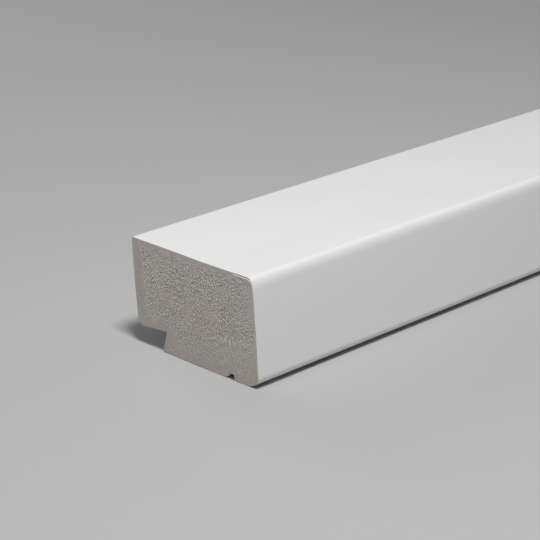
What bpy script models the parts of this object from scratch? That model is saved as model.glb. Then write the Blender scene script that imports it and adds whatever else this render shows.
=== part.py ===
"""Window sill moulding, one extruded length, as a Blender scene.

The sill lies on its underside, as it does on a bench. X runs along its length, -Y is the front
that faces out of the building, +Y is the back that meets the window frame, and +Z is up. The origin
is the centre of the bounding box's base, in the plane of the underside.

Once built in, the sill tips forward by SLOPE: its front and back faces then stand plumb, the seat
of its rebate is level, and its top and underside fall to the front, so that rain runs off.
"""

import math
from collections import namedtuple

import bmesh
import bpy

# Driving dimensions, in metres and radians
LENGTH = 0.300  # between the two sawn ends
BODY_DEPTH = 0.0673  # front face to back face, along the underside
THICKNESS = 0.0440  # underside to top
SLOPE = math.radians(5.0)  # lean of the front and back faces as the sill lies

REBATE_DEPTH = 0.0167  # back face to the rebate's inner corner
REBATE_HEIGHT = 0.0091  # underside to the rebate's inner corner
REBATE_UNDERCUT = math.radians(12.5)  # lean of the rebate's wall, whose foot stands further back

KERF_SETBACK = 0.0134  # front corner to the drip kerf's front wall
KERF_WIDTH = 0.0034
KERF_DEPTH = 0.0024  # height of the kerf above the underside

# Roundings, each as the length that it takes from a side of its corner
EDGE_RUN = 0.0030  # the eased edge between top and front, along the top
EDGE_DROP = 0.0050  # and down the front
NOSE_RUN = 0.0080  # the drip nose between front and underside, along the underside
NOSE_RISE = 0.0046  # and up the front
BACK_ARRIS = 0.0006  # the crisp edge between top and back
LAP_ROUND = 0.0034  # the bottom of the back face
SEAT_CORNER_ROUND = 0.0005  # the rebate's inner corner
HEEL_RUN = 0.0039  # where the underside meets the rebate's wall, along the underside
HEEL_RISE = 0.0014  # and up the wall
BACK_LIP_RUN = 0.0026  # the kerf's back lip, along the underside
BACK_LIP_RISE = 0.0014  # and up the kerf's wall
FRONT_LIP_ROUND = 0.0004  # the kerf's front lip
KERF_TOP_ROUND = 0.0008

ROUND_STEPS = 10  # flats along each rounded corner
MOST_OF_A_SIDE = 0.96  # the share of a side that the roundings at its two ends may take together
SMOOTH_UNDER = math.radians(30.0)

PVC_WHITE = (0.83, 0.83, 0.82, 1.0)
PVC_ROUGHNESS = 0.38


# A corner of the section: its depth behind the front corner, its height above the underside, and
# how far it is rounded along the side to the last corner and along the side to the next one.
Corner = namedtuple("Corner", "depth height towards_last towards_next")


def clear_scene():
    for obj in list(bpy.data.objects):
        bpy.data.objects.remove(obj, do_unlink=True)


def section_corners():
    """The section's sharp corners, in order along the underside to the back, then over the top."""
    lean = math.tan(SLOPE)
    kerf_back = KERF_SETBACK + KERF_WIDTH
    seat_corner = BODY_DEPTH + REBATE_HEIGHT * lean - REBATE_DEPTH
    heel = seat_corner + REBATE_HEIGHT * math.tan(REBATE_UNDERCUT)
    # The seat falls towards the back at SLOPE, square to the back face, which it meets at the lap.
    lap_height = (REBATE_HEIGHT - (BODY_DEPTH - seat_corner) * lean) / (1.0 + lean * lean)
    lap = BODY_DEPTH + lap_height * lean
    return [
        Corner(0.0, 0.0, NOSE_RISE, NOSE_RUN),
        Corner(KERF_SETBACK, 0.0, FRONT_LIP_ROUND, FRONT_LIP_ROUND),
        Corner(KERF_SETBACK, KERF_DEPTH, KERF_TOP_ROUND, KERF_TOP_ROUND),
        Corner(kerf_back, KERF_DEPTH, KERF_TOP_ROUND, KERF_TOP_ROUND),
        Corner(kerf_back, 0.0, BACK_LIP_RISE, BACK_LIP_RUN),
        Corner(heel, 0.0, HEEL_RUN, HEEL_RISE),
        Corner(seat_corner, REBATE_HEIGHT, SEAT_CORNER_ROUND, SEAT_CORNER_ROUND),
        Corner(lap, lap_height, LAP_ROUND, LAP_ROUND),
        Corner(BODY_DEPTH + THICKNESS * lean, THICKNESS, BACK_ARRIS, BACK_ARRIS),
        Corner(THICKNESS * lean, THICKNESS, EDGE_RUN, EDGE_DROP),
    ]


def share_that_fits(corner, after):
    """How much of the roundings at both ends of a side fits on it, from 0 to 1."""
    side = math.dist((corner.depth, corner.height), (after.depth, after.height))
    return min(1.0, MOST_OF_A_SIDE * side / (corner.towards_next + after.towards_last))


def along_side(corner, other, distance):
    """The vector of that length from a corner towards another."""
    depth = other.depth - corner.depth
    height = other.height - corner.height
    share = distance / math.hypot(depth, height)
    return depth * share, height * share


def rounded_corner(before, corner, after):
    """Points of a quarter ellipse that runs into both sides of a corner."""
    last = along_side(corner, before, corner.towards_last * share_that_fits(before, corner))
    ahead = along_side(corner, after, corner.towards_next * share_that_fits(corner, after))
    points = []
    for step in range(ROUND_STEPS + 1):
        turn = 0.5 * math.pi * step / ROUND_STEPS
        of_last = 1.0 - math.sin(turn)
        of_ahead = 1.0 - math.cos(turn)
        depth = corner.depth + last[0] * of_last + ahead[0] * of_ahead
        height = corner.height + last[1] * of_last + ahead[1] * of_ahead
        points.append((depth, height))
    return points


def section_outline():
    """The whole outline as (Y, Z) points, with the bounding box centred on Y = 0."""
    corners = section_corners()
    outline = []
    for index, corner in enumerate(corners):
        after = corners[(index + 1) % len(corners)]
        outline += rounded_corner(corners[index - 1], corner, after)
    depths = [point[0] for point in outline]
    middle = 0.5 * (min(depths) + max(depths))
    return [(depth - middle, height) for depth, height in outline]


def extruded_mesh(name, outline, length):
    """A closed prism of the outline along X, centred on X = 0."""
    shape = bmesh.new()
    ring = [shape.verts.new((-0.5 * length, y, z)) for y, z in outline]
    near_end = shape.faces.new(ring)
    swept = bmesh.ops.extrude_face_region(shape, geom=[near_end], use_keep_orig=True)
    far_end = [item for item in swept["geom"] if isinstance(item, bmesh.types.BMVert)]
    bmesh.ops.translate(shape, verts=far_end, vec=(length, 0.0, 0.0))
    bmesh.ops.recalc_face_normals(shape, faces=shape.faces)
    mesh = bpy.data.meshes.new(name)
    shape.to_mesh(mesh)
    shape.free()
    mesh.shade_smooth()
    mesh.set_sharp_from_angle(angle=SMOOTH_UNDER)
    return mesh


def pvc_material():
    material = bpy.data.materials.new("white_cellular_pvc")
    material.use_nodes = True
    shader = material.node_tree.nodes["Principled BSDF"]
    shader.inputs["Base Color"].default_value = PVC_WHITE
    shader.inputs["Roughness"].default_value = PVC_ROUGHNESS
    shader.inputs["Metallic"].default_value = 0.0
    return material


def make_window_sill():
    name = "window_sill"
    mesh = extruded_mesh(name, section_outline(), LENGTH)
    mesh.materials.append(pvc_material())
    sill = bpy.data.objects.new(name, mesh)
    bpy.context.scene.collection.objects.link(sill)
    return sill


def main():
    clear_scene()
    make_window_sill()


main()
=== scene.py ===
"""Looks of the window sill: a satin extruded skin and two sawn ends of fine foam.

The piece is one mesh on the solid's own section. Its long sides bow a little. Its sawn ends show a
dense skin around a foamed core, with torn cells and the saw's marks, and the end at -X has a short
burr along its top. Y runs from the front to the back of the section, and Z up.
"""

import math

import bmesh
import bpy
import numpy as np
from mathutils import Matrix, Vector
from mathutils.geometry import delaunay_2d_cdt


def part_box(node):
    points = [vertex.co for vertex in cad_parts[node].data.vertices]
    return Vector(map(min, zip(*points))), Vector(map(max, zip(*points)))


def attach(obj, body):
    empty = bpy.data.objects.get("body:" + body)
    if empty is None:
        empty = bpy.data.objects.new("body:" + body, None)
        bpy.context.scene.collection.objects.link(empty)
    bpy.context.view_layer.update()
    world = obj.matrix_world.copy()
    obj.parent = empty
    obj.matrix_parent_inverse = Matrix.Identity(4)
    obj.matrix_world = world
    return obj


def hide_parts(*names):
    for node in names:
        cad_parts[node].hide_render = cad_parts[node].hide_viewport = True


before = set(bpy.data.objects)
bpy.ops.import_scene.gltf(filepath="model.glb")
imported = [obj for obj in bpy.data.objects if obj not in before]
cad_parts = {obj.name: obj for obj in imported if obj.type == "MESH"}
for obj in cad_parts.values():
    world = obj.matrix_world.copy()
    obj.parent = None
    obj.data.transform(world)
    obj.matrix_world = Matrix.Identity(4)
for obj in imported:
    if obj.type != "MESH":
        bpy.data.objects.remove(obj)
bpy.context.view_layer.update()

MM = 0.001

# Camera, from the vanishing point of the length and the true shape of the sawn end
CAMERA_AT = (-0.6400, -0.5247, 0.3074)
CAMERA_TURN = 45.383  # degrees from the part's +Y towards +X
CAMERA_DIP = 20.488  # below level
CAMERA_ROLL = 0.253
LENS = 133.33 * MM
SENSOR = 36.0 * MM
CLIP_START = 0.01

# Lights: place, target, side in metres and power in watts
KEY = ((-0.28, -0.33, 1.05), (-0.10, 0.0, 0.03), 0.24, 10.1)
FILL = ((0.12, 1.10, 0.55), (0.05, 0.0, 0.02), 0.45, 2.2)
SKY_GREYS = (0.06, 0.22)  # at the horizon, and overhead

FLOOR_SIDE = 8.0
FLOOR_DROP = 0.05 * MM  # keeps the floor clear of the underside
FLOOR_GREY = 0.47
FLOOR_ROUGHNESS = 0.9

# Section
LONG_SIDE = 3.0 * MM  # a straight side longer than this is cut into steps and may sag
SIDE_STEP = 0.62 * MM
TOP_SINK = 0.20 * MM  # the wide faces of the extrusion aren't quite flat
TOP_SINK_AT = 0.62  # share of the top, from its back to its front, where it is deepest
TOP_SINK_WIDTH = 0.18
UNDER_SINK = 0.18 * MM
BACK_CROWN = 0.25 * MM
FRONT_CROWN = 0.15 * MM
EDGE_FULLNESS = 0.22 * MM  # how far the eased front edge stands out of a plain quarter ellipse

# Skin, as rings around the section
CLOSE_RINGS = (1.0 * MM, 2.5 * MM, 6.0 * MM)  # from a sawn end
BODY_STEP = 12.0 * MM  # from ring to ring between them
ARRIS = 0.06 * MM  # the sawn edge is eased by about this much
ARRIS_STEPS = 3
ARRIS_WEAR = 0.25  # how much the easing varies, as a share of itself
EDGE_GLOW_REACH = 1.3 * MM  # how far the painted glow of the sawn edge reaches along the skin, standing in for light that catches the edge and shines through the plastic

# Mesh of a sawn end
ROW_STEP = 0.14 * MM  # between the rows that follow its edge
EDGE_ROWS = 6
CELL_STEP = 0.28 * MM  # in the lattice within those rows
CELL_JITTER = 0.22
FIELD_PITCH = 0.16 * MM  # of the grids that hold the random fields

# Dense skin around the foamed core: its depth on each side, up to where the foam starts
TOP_BAND = 1.4 * MM
FRONT_BAND = 0.3 * MM
BACK_BAND = 3.2 * MM
UNDER_BAND = 0.8 * MM
REBATE_BAND = 1.1 * MM
BAND_BLUR = 3.2 * MM
CORNER_BLUR = 2.5 * MM  # along the outline, where one side's value passes into the next one's
REBATE_REACH = 22.0 * MM  # from the back, as far as a side can be and belong to the rebate
REBATE_TOP = 10.0 * MM  # and above the underside

# Tone of the dense skin on each side, where a higher tone is paler
TOP_TONE = 0.20
FRONT_TONE = 0.0
BACK_TONE = -0.28
UNDER_TONE = -0.10
REBATE_TONE = -0.20

# Relief of a sawn end
GRAIN_DEPTH = 0.098 * MM
GRAIN_BELOW = 1.6  # how far the grain's mean lies below the saw's plane, in its own deviations
TORN_DEPTH = 0.11 * MM
SAW_DEPTH = 0.006 * MM
SAW_PITCH = 1.45 * MM
BLADE_FORWARD = 30.0 * MM  # the blade's centre, in front of the section
BLADE_ABOVE = 95.0 * MM  # and above it

# Where the looks of a sawn end change, each from its first value to its second
FAINT_DEPTH = (0.5 * MM, 1.5 * MM)  # below the outline, where a faint grain sets in
STREAK_DEPTH = (2.0 * MM, 5.0 * MM)  # where the streaks of the rim end
FLOW_DEPTH = (2.5 * MM, 7.0 * MM)  # where the grain stops running along Y
FRONT_DEPTH = (3.0 * MM, 9.0 * MM)  # where the weaker grain along the front ends
FRONT_FOAM = (0.0, 0.7 * MM)  # where foam shows behind the front
HEART_DEPTH = (9.0 * MM, 18.0 * MM)  # where the core turns to its yellower heart
FLOW_FRONT = (13.0 * MM, 5.0 * MM)  # behind the front, where the grain runs along Y
FULL_GRAIN = (4.0 * MM, 22.0 * MM)  # above the underside, where the grain gains its full strength
LOW_FRONT_Y = (-11.0 * MM, -17.0 * MM)  # low at the front, where the grain runs along Z
LOW_FRONT_Z = (20.0 * MM, 15.0 * MM)
BACK_Y = (8.0 * MM, 28.0 * MM)  # where the foam is paler
HIGH_Z = (34.0 * MM, 42.0 * MM)  # where it is darker

# Burr that the saw left along the top of the -X end, placed from the front
BURR_FROM = 4.8 * MM
BURR_TO = 11.5 * MM
BURR_FADE_IN = 0.6 * MM
BURR_FADE_OUT = 3.0 * MM
BURR_STRIP = 6.0 * MM  # it lies within this much of the top
BURR_SETBACK = 0.18 * MM  # how far the edge is broken back there
BURR_GROOVE = 0.14 * MM  # how much deeper the groove below it is
BURR_STEP = 0.14 * MM  # over which the groove falls away
BURR_RIDGE = 0.82 * MM  # how far below the edge the burr's ridge stands
BURR_HOLLOW = 0.05 * MM  # depth of the hollow below the ridge
# How much paler the burr's ridge is painted: partly its white skin plastic, partly a painted
# highlight where light catches the ridge
BURR_PALENESS_AND_HIGHLIGHT = 1.2

# Random fields of a sawn end, in the order in which they are drawn. Each has its waves, as
# wavelength in mm, spread and weight, then its stretch along and across, and its lean in degrees.
GRAIN = ((0.85, 0.13, 1.9), (1.2, 0.2, 1.3), (1.65, 0.3, 0.6), (3.0, 0.4, 0.55))
END_FIELDS = {
    "rising": (((1.35, 0.2, 1.0), (1.9, 0.25, 0.7)), (1.8, 0.8), 58.0),
    "even": (GRAIN, (1.2, 0.9), 14.0),
    "along_y": (GRAIN, (2.4, 0.8), 0.0),
    "along_z": (((1.65, 0.13, 2.0), (2.3, 0.3, 0.2)), (1.0, 2.6), 0.0),
    "streaks": (((1.3, 0.35, 1.0),), (4.0, 0.9), 0.0),
    "wander": (((9.0, 0.5, 1.0),), (1.0, 1.0), 0.0),
    "patches": (((14.0, 0.4, 1.0),), (1.0, 1.0), 0.0),
    "clouds": (((6.5, 0.35, 1.0),), (1.0, 1.0), 0.0),
    "torn": (((1.4, 0.25, 1.0),), (1.0, 1.0), 0.0),
    "ragged": (((3.0, 0.5, 1.0),), (1.0, 1.0), 0.0),
}
EASE_WAVES = ((6.0, 0.6, 1.0),)

# Material slots
SKIN = 0
SAWN = 1

WELD = 1e-6
ON_A_PLANE = 1e-5
AT_A_TIME = 4000  # points that are compared with the outline together

rng = np.random.default_rng(39)


def blend(share, first, second):
    return (1.0 - share) * first + share * second


def smooth_step(low, high, value):
    share = np.clip((value - low) / (high - low), 0.0, 1.0)
    return share * share * (3.0 - 2.0 * share)


def section_of(node):
    """The node's outline at its -X end, as an array of (y, z) points in order, solid on the left."""
    shape = bmesh.new()
    shape.from_mesh(node.data)
    bmesh.ops.remove_doubles(shape, verts=shape.verts, dist=WELD)
    end = min(vert.co.x for vert in shape.verts)
    at_end = [
        face for face in shape.faces
        if all(abs(vert.co.x - end) < ON_A_PLANE for vert in face.verts)
    ]
    own = set(at_end)
    after = {}
    for face in at_end:
        for loop in face.loops:
            if sum(other in own for other in loop.edge.link_faces) == 1:
                after[loop.vert] = loop.link_loop_next.vert
    start = min(after, key=lambda vert: (round(vert.co.z, 6), vert.co.y))
    ring = [start]
    while after[ring[-1]] is not start:
        ring.append(after[ring[-1]])
    points = np.array([(vert.co.y, vert.co.z) for vert in ring])
    shape.free()
    return points if signed_area(points) > 0 else points[::-1]


def signed_area(points):
    following = np.roll(points, -1, axis=0)
    return 0.5 * float(np.sum(points[:, 0] * following[:, 1] - following[:, 0] * points[:, 1]))


def bow_of(normal, share):
    """How far a long side stands out of its chord at a share of its length.

    The seat and the wall of the rebate lean more than the limits here, and stay straight.
    """
    faces_back, faces_up = normal
    arch = 4.0 * share * (1.0 - share)
    if faces_up > 0.999:
        aside = (share - TOP_SINK_AT) / TOP_SINK_WIDTH
        return -TOP_SINK * math.exp(-aside * aside) * min(1.0, 2.0 * arch)
    if faces_up < -0.999:
        return -UNDER_SINK * arch
    if faces_back > 0.99:
        return BACK_CROWN * arch
    if faces_back < -0.99:
        return FRONT_CROWN * arch
    return 0.0


def fine_section(points):
    """The outline with its long sides cut into steps and slightly bowed."""
    fine = []
    for start, end in zip(points, np.roll(points, -1, axis=0)):
        along = end - start
        length = float(np.hypot(*along))
        fine.append(start)
        if length < LONG_SIDE:
            continue
        normal = np.array([along[1], -along[0]]) / length
        steps = round(length / SIDE_STEP)
        for step in range(1, steps):
            share = step / steps
            fine.append(start + along * share + normal * bow_of(normal, share))
    fine = np.array(fine)
    normals = outward_normals(fine)
    # 1 half way round the eased front edge, and 0 on the front and on the top
    forward_and_up = 2.0 * np.clip(-normals[:, 0], 0.0, 1.0) * np.clip(normals[:, 1], 0.0, 1.0)
    fine += normals * EDGE_FULLNESS * (forward_and_up ** 2)[:, None]
    # Nothing stands out of the solid's own box
    return np.clip(fine, points.min(axis=0), points.max(axis=0))


def outward_normals(points):
    """At each point of the outline, the mean of its two sides' outward normals."""
    along = np.roll(points, -1, axis=0) - points
    length = np.hypot(along[:, 0], along[:, 1])[:, None]
    side = np.column_stack([along[:, 1], -along[:, 0]]) / length
    both = side + np.roll(side, 1, axis=0)
    return both / np.hypot(both[:, 0], both[:, 1])[:, None]


def to_outline(points, outline):
    """For each point, its distance to the outline and the number of the side that is nearest."""
    start = outline
    along = np.roll(outline, -1, axis=0) - start
    squared = np.sum(along * along, axis=1)
    distances = []
    sides = []
    for chunk in np.array_split(points, max(1, len(points) // AT_A_TIME)):
        offset = chunk[:, None] - start[None]
        share = np.clip(np.sum(offset * along[None], axis=2) / squared, 0.0, 1.0)
        gap = offset - share[..., None] * along[None]
        far = np.hypot(gap[..., 0], gap[..., 1])
        nearest = far.argmin(axis=1)
        distances.append(far[np.arange(len(chunk)), nearest])
        sides.append(nearest)
    return np.concatenate(distances), np.concatenate(sides)


def round_outline(outline, top, front, back, under, rebate):
    """A value at each side of the outline, by the way the side faces, changing smoothly round it."""
    along = np.roll(outline, -1, axis=0) - outline
    length = np.hypot(along[:, 0], along[:, 1])
    faces_back, faces_up = along[:, 1] / length, -along[:, 0] / length
    middle = outline + 0.5 * along
    at_rebate = middle[:, 0] > outline[:, 0].max() - REBATE_REACH
    at_rebate &= middle[:, 1] < REBATE_TOP
    value = np.full(len(outline), float(under))
    value[faces_up > 0.5] = top
    value[faces_back < -0.8] = front
    value[faces_back > 0.8] = back
    value[at_rebate] = rebate
    place = np.cumsum(length) - 0.5 * length
    gap = np.abs(place[:, None] - place[None])
    gap = np.minimum(gap, length.sum() - gap)
    weight = np.exp(-0.5 * (gap / CORNER_BLUR) ** 2) * length[None]
    return weight @ value / weight.sum(axis=1)


def inside(points, outline):
    """Whether each point is inside the outline, by the crossings of a ray along +Y."""
    start = outline
    end = np.roll(outline, -1, axis=0)
    hits = np.zeros(len(points), int)
    for (y0, z0), (y1, z1) in zip(start, end):
        if z0 == z1:
            continue
        spans = (points[:, 1] >= min(z0, z1)) & (points[:, 1] < max(z0, z1))
        crossing = y0 + (points[:, 1] - z0) * (y1 - y0) / (z1 - z0)
        hits += spans & (crossing > points[:, 0])
    return hits % 2 == 1


class Field:
    """A random height field over the end, with its power at the wavelengths given, in mm."""

    def __init__(self, low, high, waves, stretch=(1.0, 1.0), lean=0.0):
        self.low = np.array(low)
        size = np.ceil((np.array(high) - self.low) / FIELD_PITCH).astype(int) + 8
        white = np.fft.fft2(rng.standard_normal(size))
        across = np.fft.fftfreq(size[0], FIELD_PITCH / MM)[:, None]
        up = np.fft.fftfreq(size[1], FIELD_PITCH / MM)[None]
        along = across * math.cos(lean) + up * math.sin(lean)
        beside = up * math.cos(lean) - across * math.sin(lean)
        frequency = np.hypot(along * stretch[0], beside * stretch[1])
        frequency[0, 0] = 1e-9  # keeps its logarithm finite
        gain = np.zeros_like(frequency)
        for wavelength, spread, weight in waves:
            near = np.log(frequency * wavelength) / spread
            gain += weight * np.exp(-0.5 * near * near) / np.sqrt(frequency * wavelength)
        self.values = np.real(np.fft.ifft2(white * gain))
        self.values -= self.values.mean()
        self.values /= self.values.std()

    def at(self, points):
        place = (points - self.low) / FIELD_PITCH
        cell = np.clip(np.floor(place).astype(int), 0, np.array(self.values.shape) - 2)
        share = np.clip(place - cell, 0.0, 1.0)
        i, j = cell[:, 0], cell[:, 1]
        near = self.values[i, j] * (1 - share[:, 0]) + self.values[i + 1, j] * share[:, 0]
        far = self.values[i, j + 1] * (1 - share[:, 0]) + self.values[i + 1, j + 1] * share[:, 0]
        return near * (1 - share[:, 1]) + far * share[:, 1]


def end_points(outline):
    """Points inside the end: a few rows along its edge, then an even lattice."""
    rows = []
    inward = -outward_normals(outline)
    for row in range(1, EDGE_ROWS + 1):
        depth = row * ROW_STEP
        line = outline + inward * depth
        distance, _ = to_outline(line, outline)
        clear_of_other_sides = distance > 0.93 * depth
        rows.append(line[inside(line, outline) & clear_of_other_sides])
    low = outline.min(axis=0)
    high = outline.max(axis=0)
    rise = CELL_STEP * math.sqrt(3.0) / 2.0
    lattice = []
    for index in range(int((high[1] - low[1]) / rise) + 1):
        shift = 0.5 * CELL_STEP * (index % 2)
        across = np.arange(low[0] + shift, high[0], CELL_STEP)
        lattice.append(np.column_stack([across, np.full(len(across), low[1] + index * rise)]))
    lattice = np.concatenate(lattice)
    lattice += rng.uniform(-CELL_JITTER, CELL_JITTER, lattice.shape) * CELL_STEP
    distance, _ = to_outline(lattice, outline)
    keep = inside(lattice, outline) & (distance > (EDGE_ROWS + 0.8) * ROW_STEP)
    return np.concatenate(rows + [lattice[keep]])


def triangulate(outline, points):
    """Triangles over the outline and the points in it. The outline's points come first."""
    every = [Vector(p) for p in outline] + [Vector(p) for p in points]
    count = len(outline)
    edges = [(i, (i + 1) % count) for i in range(count)]
    verts, _, faces, origins, _, _ = delaunay_2d_cdt(every, edges, [], 1, 1e-8)
    back = [source[0] for source in origins]
    if len(verts) != len(every):
        raise ValueError("two points of the sawn end fell together")
    return np.array([[back[corner] for corner in face] for face in faces])


def near_burr(points, low, high):
    """1 along the stretch of the top's sawn edge that carries the burr, and 0 away from it."""
    behind_front = points[:, 0] - low[0]
    share = smooth_step(BURR_FROM - BURR_FADE_IN, BURR_FROM, behind_front)
    share *= smooth_step(BURR_TO + BURR_FADE_OUT, BURR_TO, behind_front)
    return share * (points[:, 1] > high[1] - BURR_STRIP)


def burr_depth(points, distance, low, high):
    """Depth of the broken edge, its groove and the hollow below its ridge."""
    lip = BURR_SETBACK + BURR_GROOVE * smooth_step(0.0, BURR_STEP, distance)
    lip *= 1.0 - smooth_step(0.52 * BURR_RIDGE, BURR_RIDGE, distance)
    below = BURR_HOLLOW * smooth_step(BURR_RIDGE, 1.5 * BURR_RIDGE, distance)
    below *= 1.0 - smooth_step(1.0 * MM, 3.5 * MM, distance)
    return near_burr(points, low, high) * (lip + below)


def with_burr(points, rim, low, high, depth, foam, tone):
    """The depth, share of foam and tone of a sawn end, with the burr worked in, its ridge painted
    paler: partly white skin plastic, partly a painted highlight.
    """
    distance, _ = to_outline(points, rim)
    burr = near_burr(points, low, high)
    burr *= smooth_step(2.0 * BURR_RIDGE, 1.2 * BURR_RIDGE, distance)
    depth = depth * (1.0 - burr) + burr_depth(points, distance, low, high)
    # Partly white skin plastic and partly a painted highlight: the burr's lit ridge is painted paler
    pale = burr * smooth_step(1.3 * BURR_RIDGE, BURR_RIDGE, distance)
    pale *= smooth_step(0.3 * BURR_RIDGE, 0.6 * BURR_RIDGE, distance)
    return depth, np.maximum(foam, pale), tone + BURR_PALENESS_AND_HIGHLIGHT * pale


def saw_marks(points, low, high, wander):
    """The saw's arcs around its centre, from -1 to 1, slightly out of true."""
    from_centre = points - np.array([low[0] - BLADE_FORWARD, high[1] + BLADE_ABOVE])
    radius = np.hypot(from_centre[:, 0], from_centre[:, 1])
    return np.sin(2.0 * math.pi * radius / SAW_PITCH + 0.8 * wander)


def sawn_relief(points, outline):
    """Depth below the saw's plane, shares of foam and of heart, and tone at each point of an end,
    the tone holding painted shade where the grain sinks and in torn pits.
    """
    low, high = outline.min(axis=0), outline.max(axis=0)
    y, z = points[:, 0], points[:, 1]
    distance, side = to_outline(points, outline)
    field = {}
    for name, (waves, stretch, lean) in END_FIELDS.items():
        field[name] = Field(low, high, waves, stretch, math.radians(lean)).at(points)
    wander = field["wander"]

    # Each of these is 1 in the place that it names, and 0 away from it
    at_front = round_outline(outline, 0.0, 1.0, 0.0, 0.0, 0.0)[side]
    at_front *= 1.0 - smooth_step(*FRONT_DEPTH, distance)
    low_front = smooth_step(*LOW_FRONT_Y, y) * smooth_step(*LOW_FRONT_Z, z)
    above_foot = smooth_step(*FULL_GRAIN, z - low[1])
    towards_back = smooth_step(*BACK_Y, y)
    high_up = smooth_step(*HIGH_Z, z)
    heart = smooth_step(*HEART_DEPTH, distance + wander * MM)

    # Foam starts below the dense skin, and its grain is weaker near the front and the underside
    band = round_outline(outline, TOP_BAND, FRONT_BAND, BACK_BAND, UNDER_BAND, REBATE_BAND)[side]
    foam = smooth_step(0.0, BAND_BLUR, distance - band + (0.6 * wander + 0.5 * field["ragged"]) * MM)
    faint = 0.30 * smooth_step(*FAINT_DEPTH, distance)
    strength = np.maximum(foam, faint) * (0.49 + 0.51 * above_foot) * (1.0 + 0.12 * field["patches"])
    strength *= 1.0 - 0.40 * at_front
    strength *= 1.0 - 0.20 * low_front
    foam = np.maximum(foam, 0.75 * at_front * smooth_step(*FRONT_FOAM, distance))

    # The grain runs along Y near the front, in streaks near the rim, and along Z low at the front
    flow = 0.38 * (1.0 - smooth_step(*FLOW_DEPTH, distance))
    flow = np.maximum(flow, 0.85 * smooth_step(*FLOW_FRONT, y - low[0]))
    near_rim = 0.6 * (1.0 - smooth_step(*STREAK_DEPTH, distance))
    grained = 0.89 * field["even"] + 0.45 * field["rising"]
    grained = blend(flow, grained, field["along_y"])
    grained = blend(near_rim, grained, field["streaks"])
    grained = blend(0.8 * low_front, grained, field["along_z"])
    pits = np.clip(field["torn"] - 1.15, 0.0, 1.6)

    depth = GRAIN_DEPTH * strength * (GRAIN_BELOW - grained) + TORN_DEPTH * strength * pits
    depth = np.maximum(depth, 0.0) + SAW_DEPTH * (1.0 + saw_marks(points, low, high, wander))

    rim_tone = round_outline(outline, TOP_TONE, FRONT_TONE, BACK_TONE, UNDER_TONE, REBATE_TONE)[side]
    rise = 2.0 * (z - low[1]) / (high[1] - low[1]) - 1.0
    # Painted shade: the foam is painted darker where its grain sinks and in its torn pits, and paler
    # where the grain stands; the clouds are random tone
    tone = strength * ((0.54 + 0.1 * low_front) * grained - 0.5 * pits + 0.07 * field["clouds"])
    tone += foam * (0.09 * above_foot - 0.13 * high_up + 0.14 * towards_back)
    tone += (1.0 - foam) * rim_tone + 0.25 * rise
    return depth, foam, heart, tone


class Surface:
    """A mesh that is being built, with the values that its points carry for the materials.

    These are the shares of foam and of its heart, the tone with its painted shade, and the nearness
    of the sawn edge, which sets the painted glow of the skin there.
    """

    def __init__(self):
        self.verts = []
        self.faces = []
        self.kinds = []
        self.values = {"foam": [], "heart": [], "tone": [], "edge": []}

    def add_points(self, x, yz, **given):
        """Adds a point at each (y, z), and returns the number of the first one."""
        first = len(self.verts)
        for across, (deep, high) in zip(np.broadcast_to(x, len(yz)), yz):
            self.verts.append((float(across), float(deep), float(high)))
        for label, stored in self.values.items():
            stored.extend(np.broadcast_to(given.get(label, 0.0), len(yz)))
        return first

    def add_face(self, corners, kind):
        self.faces.append(tuple(corners))
        self.kinds.append(kind)

    def to_object(self, name):
        mesh = bpy.data.meshes.new(name)
        mesh.from_pydata(self.verts, [], self.faces)
        mesh.polygons.foreach_set("material_index", self.kinds)
        for label, stored in self.values.items():
            attribute = mesh.attributes.new(label, "FLOAT", "POINT")
            attribute.data.foreach_set("value", np.array(stored, np.float32))
        mesh.update()
        shape = bmesh.new()
        shape.from_mesh(mesh)
        bmesh.ops.recalc_face_normals(shape, faces=shape.faces)
        shape.to_mesh(mesh)
        shape.free()
        mesh.shade_smooth()
        made = bpy.data.objects.new(name, mesh)
        bpy.context.scene.collection.objects.link(made)
        return made


def skin_rings(low_x, high_x, ease, set_back):
    """Each ring of the skin from -X to +X, as its X and its inset at each point of the outline."""
    level = np.zeros(len(ease))
    turns = [0.5 * math.pi * step / ARRIS_STEPS for step in range(ARRIS_STEPS + 1)]
    near_end = [(ease * (1.0 - math.cos(turn)), ease * (1.0 - math.sin(turn))) for turn in turns]
    near_end += [(np.full(len(ease), x), level) for x in CLOSE_RINGS]
    rings = [(low_x + x + set_back * (x < 0.5 * CLOSE_RINGS[0]), inset) for x, inset in near_end]
    first_x = low_x + CLOSE_RINGS[-1]
    run = high_x - low_x - 2.0 * CLOSE_RINGS[-1]
    steps = round(run / BODY_STEP)
    for step in range(1, steps):
        rings.append((np.full(len(ease), first_x + run * step / steps), level))
    return rings + [(high_x - x, inset) for x, inset in reversed(near_end)]


def add_skin(surface, outline, rings, low_x, high_x):
    """Adds the skin, and returns the numbers of the first points of its two outermost rings."""
    normals = outward_normals(outline)
    count = len(outline)
    firsts = []
    for x, inset in rings:
        edge = 1.0 - smooth_step(0.0, EDGE_GLOW_REACH, np.minimum(x - low_x, high_x - x))
        firsts.append(surface.add_points(x, outline - normals * inset[:, None], edge=edge))
    for first, second in zip(firsts, firsts[1:]):
        for i in range(count):
            j = (i + 1) % count
            surface.add_face((first + i, first + j, second + j, second + i), SKIN)
    return firsts[0], firsts[-1]


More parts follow.
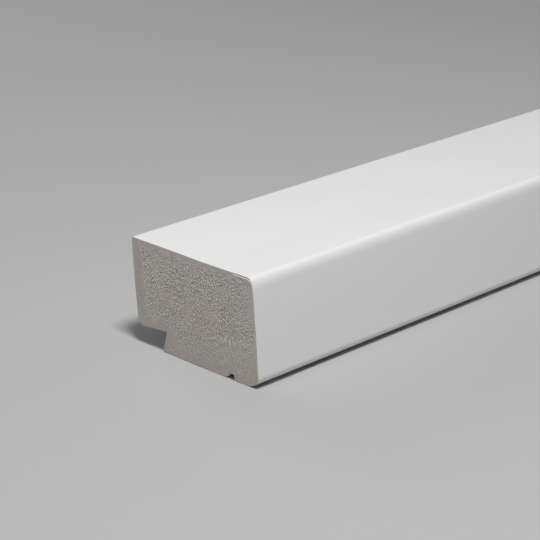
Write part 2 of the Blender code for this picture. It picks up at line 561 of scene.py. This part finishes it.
def make_sill(name, node):
    low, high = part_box(node)
    outline = fine_section(section_of(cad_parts[node]))
    lowest, highest = outline.min(axis=0), outline.max(axis=0)
    count = len(outline)

    wear = Field(lowest, highest, EASE_WAVES).at(outline)
    ease = ARRIS * np.clip(1.0 + ARRIS_WEAR * wear, 0.5, 1.5)
    set_back = BURR_SETBACK * near_burr(outline, lowest, highest)
    surface = Surface()
    rings = skin_rings(low.x, high.x, ease, set_back)
    end_rings = add_skin(surface, outline, rings, low.x, high.x)

    rim = outline - outward_normals(outline) * ease[:, None]
    within = end_points(rim)
    triangles = triangulate(rim, within)
    for ring, x, inward in ((end_rings[0], low.x, 1.0), (end_rings[1], high.x, -1.0)):
        depth, foam, heart, tone = sawn_relief(within, rim)
        if inward > 0.0:
            depth, foam, tone = with_burr(within, rim, lowest, highest, depth, foam, tone)
        first = surface.add_points(x + inward * depth, within, foam=foam, heart=heart, tone=tone)
        numbers = np.concatenate([ring + np.arange(count), first + np.arange(len(within))])
        for corners in numbers[triangles].tolist():
            surface.add_face(corners if inward < 0.0 else reversed(corners), SAWN)
    return surface.to_object(name)


class Nodes:
    """Short calls for a material's nodes."""

    def __init__(self, name):
        self.material = bpy.data.materials.new(name)
        self.material.use_nodes = True
        self.tree = self.material.node_tree
        self.shader = self.tree.nodes["Principled BSDF"]

    def link(self, source, target):
        self.tree.links.new(source, target)

    def add(self, kind, **settings):
        node = self.tree.nodes.new(kind)
        for name, value in settings.items():
            setattr(node, name, value)
        return node

    def attribute(self, name):
        node = self.add("ShaderNodeAttribute", attribute_type="GEOMETRY", attribute_name=name)
        return node.outputs["Fac"]

    def place(self, scale=(1.0, 1.0, 1.0)):
        """The part's own coordinates, in mm, multiplied by scale."""
        mapping = self.add("ShaderNodeMapping")
        mapping.inputs["Scale"].default_value = [s / MM for s in scale]
        self.link(self.add("ShaderNodeTexCoord").outputs["Object"], mapping.inputs["Vector"])
        return mapping.outputs["Vector"]

    def noise(self, place, scale, detail=2.0, roughness=0.5):
        node = self.add("ShaderNodeTexNoise")
        node.inputs["Scale"].default_value = scale
        node.inputs["Detail"].default_value = detail
        node.inputs["Roughness"].default_value = roughness
        self.link(place, node.inputs["Vector"])
        return node.outputs["Fac"]

    def math(self, operation, first, second):
        node = self.add("ShaderNodeMath", operation=operation)
        for value, socket in zip((first, second), node.inputs):
            if isinstance(value, (int, float)):
                socket.default_value = value
            else:
                self.link(value, socket)
        return node.outputs[0]

    def spread(self, value, source, target):
        """The value, carried from the range of the source to that of the target."""
        node = self.add("ShaderNodeMapRange")
        names = ("From Min", "From Max", "To Min", "To Max")
        for name, number in zip(names, (*source, *target)):
            node.inputs[name].default_value = number
        self.link(value, node.inputs["Value"])
        return node.outputs[0]

    def mix(self, share, first, second):
        """The first colour where the share is 0, and the second where it is 1."""
        node = self.add("ShaderNodeMix", data_type="RGBA", clamp_factor=True)
        self.link(share, node.inputs["Factor"])
        for value, name in ((first, "A"), (second, "B")):
            socket = [s for s in node.inputs if s.name == name and s.type == "RGBA"][0]
            if isinstance(value, tuple):
                socket.default_value = (*value, 1.0)
            else:
                self.link(value, socket)
        return [s for s in node.outputs if s.type == "RGBA"][0]

    def bump(self, height, distance, normal=None):
        node = self.add("ShaderNodeBump")
        node.inputs["Strength"].default_value = 1.0
        node.inputs["Distance"].default_value = distance
        self.link(height, node.inputs["Height"])
        if normal is not None:
            self.link(normal, node.inputs["Normal"])
        return node.outputs["Normal"]


def skin_material():
    """Satin white PVC: faint lines along the extrusion, and a fine peel across it."""
    made = Nodes("satin_pvc_skin")
    shader = made.shader
    white = (0.872, 0.871, 0.871)
    dull = tuple(0.985 * channel for channel in white)
    edge_glow = (0.88, 0.87, 0.82)
    broad = made.noise(made.place((0.012, 0.05, 0.05)), 1.0, 3.0)
    colour = made.mix(made.spread(broad, (0.3, 0.7), (0.0, 1.0)), white, dull)
    # Painted glow: the skin is painted cream near each sawn edge, for light that catches the edge
    # and shines through the white plastic
    colour = made.mix(made.math("MULTIPLY", made.attribute("edge"), 0.8), colour, edge_glow)
    made.link(colour, shader.inputs["Base Color"])
    lines = made.noise(made.place((0.004, 1.6, 1.6)), 1.0, 3.0, 0.6)
    peel = made.noise(made.place((0.35, 1.1, 1.1)), 1.0, 2.0)
    rough = made.spread(made.math("ADD", lines, peel), (0.7, 1.3), (0.205, 0.262))
    made.link(rough, shader.inputs["Roughness"])
    normal = made.bump(lines, 0.006 * MM)
    normal = made.bump(peel, 0.008 * MM, normal)
    made.link(normal, shader.inputs["Normal"])
    return made.material


def sawn_material():
    """Sawn cellular PVC: matt, warm grey-white, with fine open cells in its core."""
    made = Nodes("sawn_cellular_pvc")
    shader = made.shader
    dense = (0.848, 0.781, 0.749)
    foam = (0.88, 0.820, 0.765)
    heart = (0.88, 0.824, 0.734)
    dark = (0.41, 0.379, 0.347)
    share = made.attribute("foam")
    pale = made.mix(share, dense, made.mix(made.attribute("heart"), foam, heart))
    cells = made.noise(made.place(), 1.7, 2.0, 0.55)
    # Painted shade: the specks darken the colour where the cells sink under their bump and lighten
    # it where they stand, with some random tone; the tone attribute adds the painted shade of the
    # grain, all mixed towards dark
    cell_tone_and_shade = made.math("MULTIPLY", made.spread(cells, (0.66, 0.34), (-0.27, 0.27)), share)
    shade = made.spread(made.attribute("tone"), (1.2, -1.2), (-0.045, 0.855))
    shade = made.math("ADD", cell_tone_and_shade, shade)
    made.link(made.mix(shade, pale, dark), shader.inputs["Base Color"])
    shader.inputs["Roughness"].default_value = 0.72
    shader.inputs["Specular IOR Level"].default_value = 0.3
    relief = made.math("MULTIPLY", cells, made.spread(share, (0.0, 1.0), (0.12, 1.0)))
    made.link(made.bump(relief, 0.24 * MM), shader.inputs["Normal"])
    return made.material


def make_floor():
    bpy.ops.mesh.primitive_plane_add(size=FLOOR_SIDE, location=(0.0, 0.0, -FLOOR_DROP))
    floor = bpy.context.object
    floor.name = "floor"
    made = Nodes("pale_floor")
    made.shader.inputs["Base Color"].default_value = (FLOOR_GREY, FLOOR_GREY, FLOOR_GREY, 1.0)
    made.shader.inputs["Roughness"].default_value = FLOOR_ROUGHNESS
    floor.data.materials.append(made.material)


def make_area_light(name, place, target, side, power):
    data = bpy.data.lights.new(name, "AREA")
    data.shape = "SQUARE"
    data.size = side
    data.energy = power
    light = bpy.data.objects.new(name, data)
    light.location = place
    towards = Vector(target) - Vector(place)
    light.rotation_euler = towards.to_track_quat("-Z", "Y").to_euler()
    bpy.context.scene.collection.objects.link(light)


def make_sky():
    """A grey surround that is paler overhead than at the horizon and below it."""
    world = bpy.data.worlds.new("studio")
    world.use_nodes = True
    nodes = world.node_tree.nodes
    links = world.node_tree.links
    facing = nodes.new("ShaderNodeTexCoord")
    height = nodes.new("ShaderNodeSeparateXYZ")
    sky = nodes.new("ShaderNodeValToRGB")
    for stop, grey in zip(sky.color_ramp.elements, SKY_GREYS):
        stop.color = (grey, grey, grey, 1.0)
    links.new(facing.outputs["Generated"], height.inputs["Vector"])
    links.new(height.outputs["Z"], sky.inputs["Fac"])
    links.new(sky.outputs["Color"], nodes["Background"].inputs["Color"])
    bpy.context.scene.world = world


def light_the_scene():
    make_sky()
    make_area_light("key", *KEY)
    make_area_light("fill", *FILL)
    bpy.context.scene.view_settings.view_transform = "Standard"


def make_camera():
    data = bpy.data.cameras.new("camera")
    data.sensor_width = SENSOR / MM
    data.lens = LENS / MM
    data.clip_start = CLIP_START
    camera = bpy.data.objects.new("camera", data)
    turn = Matrix.Rotation(math.radians(-CAMERA_TURN), 4, "Z")
    dip = Matrix.Rotation(math.radians(90.0 - CAMERA_DIP), 4, "X")
    roll = Matrix.Rotation(math.radians(CAMERA_ROLL), 4, "Z")
    camera.matrix_world = Matrix.Translation(CAMERA_AT) @ turn @ dip @ roll
    bpy.context.scene.collection.objects.link(camera)
    bpy.context.scene.camera = camera


sill = make_sill("sill_moulding", "window_sill")
sill.data.materials.append(skin_material())
sill.data.materials.append(sawn_material())
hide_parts("window_sill")
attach(sill, "root")

make_floor()
light_the_scene()
make_camera()

bpy.context.view_layer.update()
